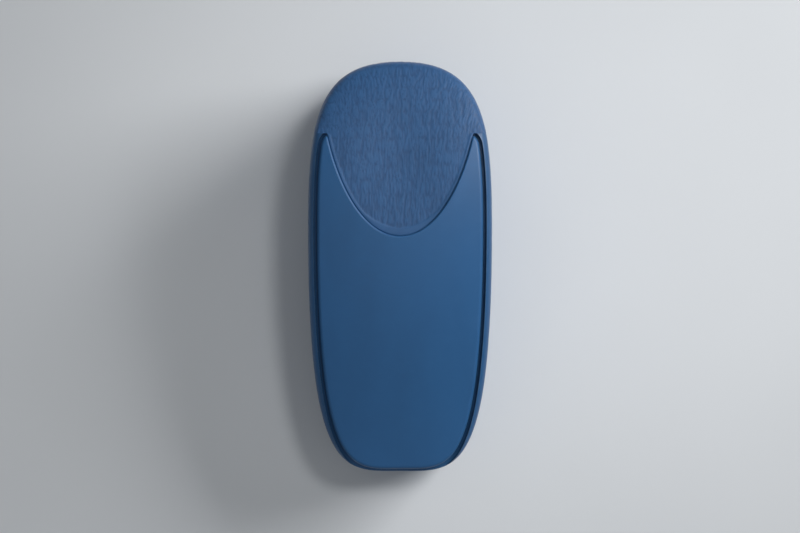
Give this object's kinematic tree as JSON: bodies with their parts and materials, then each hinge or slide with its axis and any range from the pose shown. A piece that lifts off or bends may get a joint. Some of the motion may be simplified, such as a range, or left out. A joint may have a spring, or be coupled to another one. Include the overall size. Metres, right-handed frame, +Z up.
{
  "type": "magnetic glass cleaner",
  "caption": "Magnetic cleaner for aquarium glass: a wedge-shaped handle with a felt pad, and a flat floating wet half with a scrubbing pad.",
  "frame": {"origin": "centre of the footprint on the surface that the wet half lies on, pads together as stored", "axes": "+Z up through the wet half, the pads and the handle; +Y along the body, from the narrow tail to the wide nose; +X across"},
  "size_m": [0.042, 0.0935, 0.0442],
  "materials": {
    "navy_plastic": "satin",
    "panel_plastic": "satin",
    "base_plastic": "satin",
    "grip_rubber": "matte",
    "felt": "matte",
    "scrub_fibre": "matte",
    "adhesive": "satin",
    "seal_rubber": "matte",
    "magnet_plating": "satin",
    "steel": "satin",
    "foam": "matte"
  },
  "bodies": {
    "scrubber_half": {"scrub_pad": "scrub_fibre", "scrub_tape": "adhesive", "scrubber_base": "base_plastic", "scrubber_seal": "seal_rubber", "scrubber_magnet_nose": "magnet_plating", "scrubber_magnet_tail": "magnet_plating", "scrubber_yoke": "steel", "scrubber_float": "foam", "scrubber_screws": "steel", "scrubber_shell": "navy_plastic"},
    "handle_half": {"felt_pad": "felt", "felt_tape": "adhesive", "handle_base": "base_plastic", "handle_seal": "seal_rubber", "handle_magnet_nose": "magnet_plating", "handle_magnet_tail": "magnet_plating", "handle_yoke": "steel", "handle_float": "foam", "handle_screws": "steel", "handle_shell": "navy_plastic", "palm_panel": "panel_plastic", "thumb_grip": "grip_rubber"}
  },
  "joints": [
    {"name": "halves_part", "type": "slide", "parent": "scrubber_half", "child": "handle_half", "axis": [0, 0, 1], "range_m": [0, 0.06]}
  ]
}
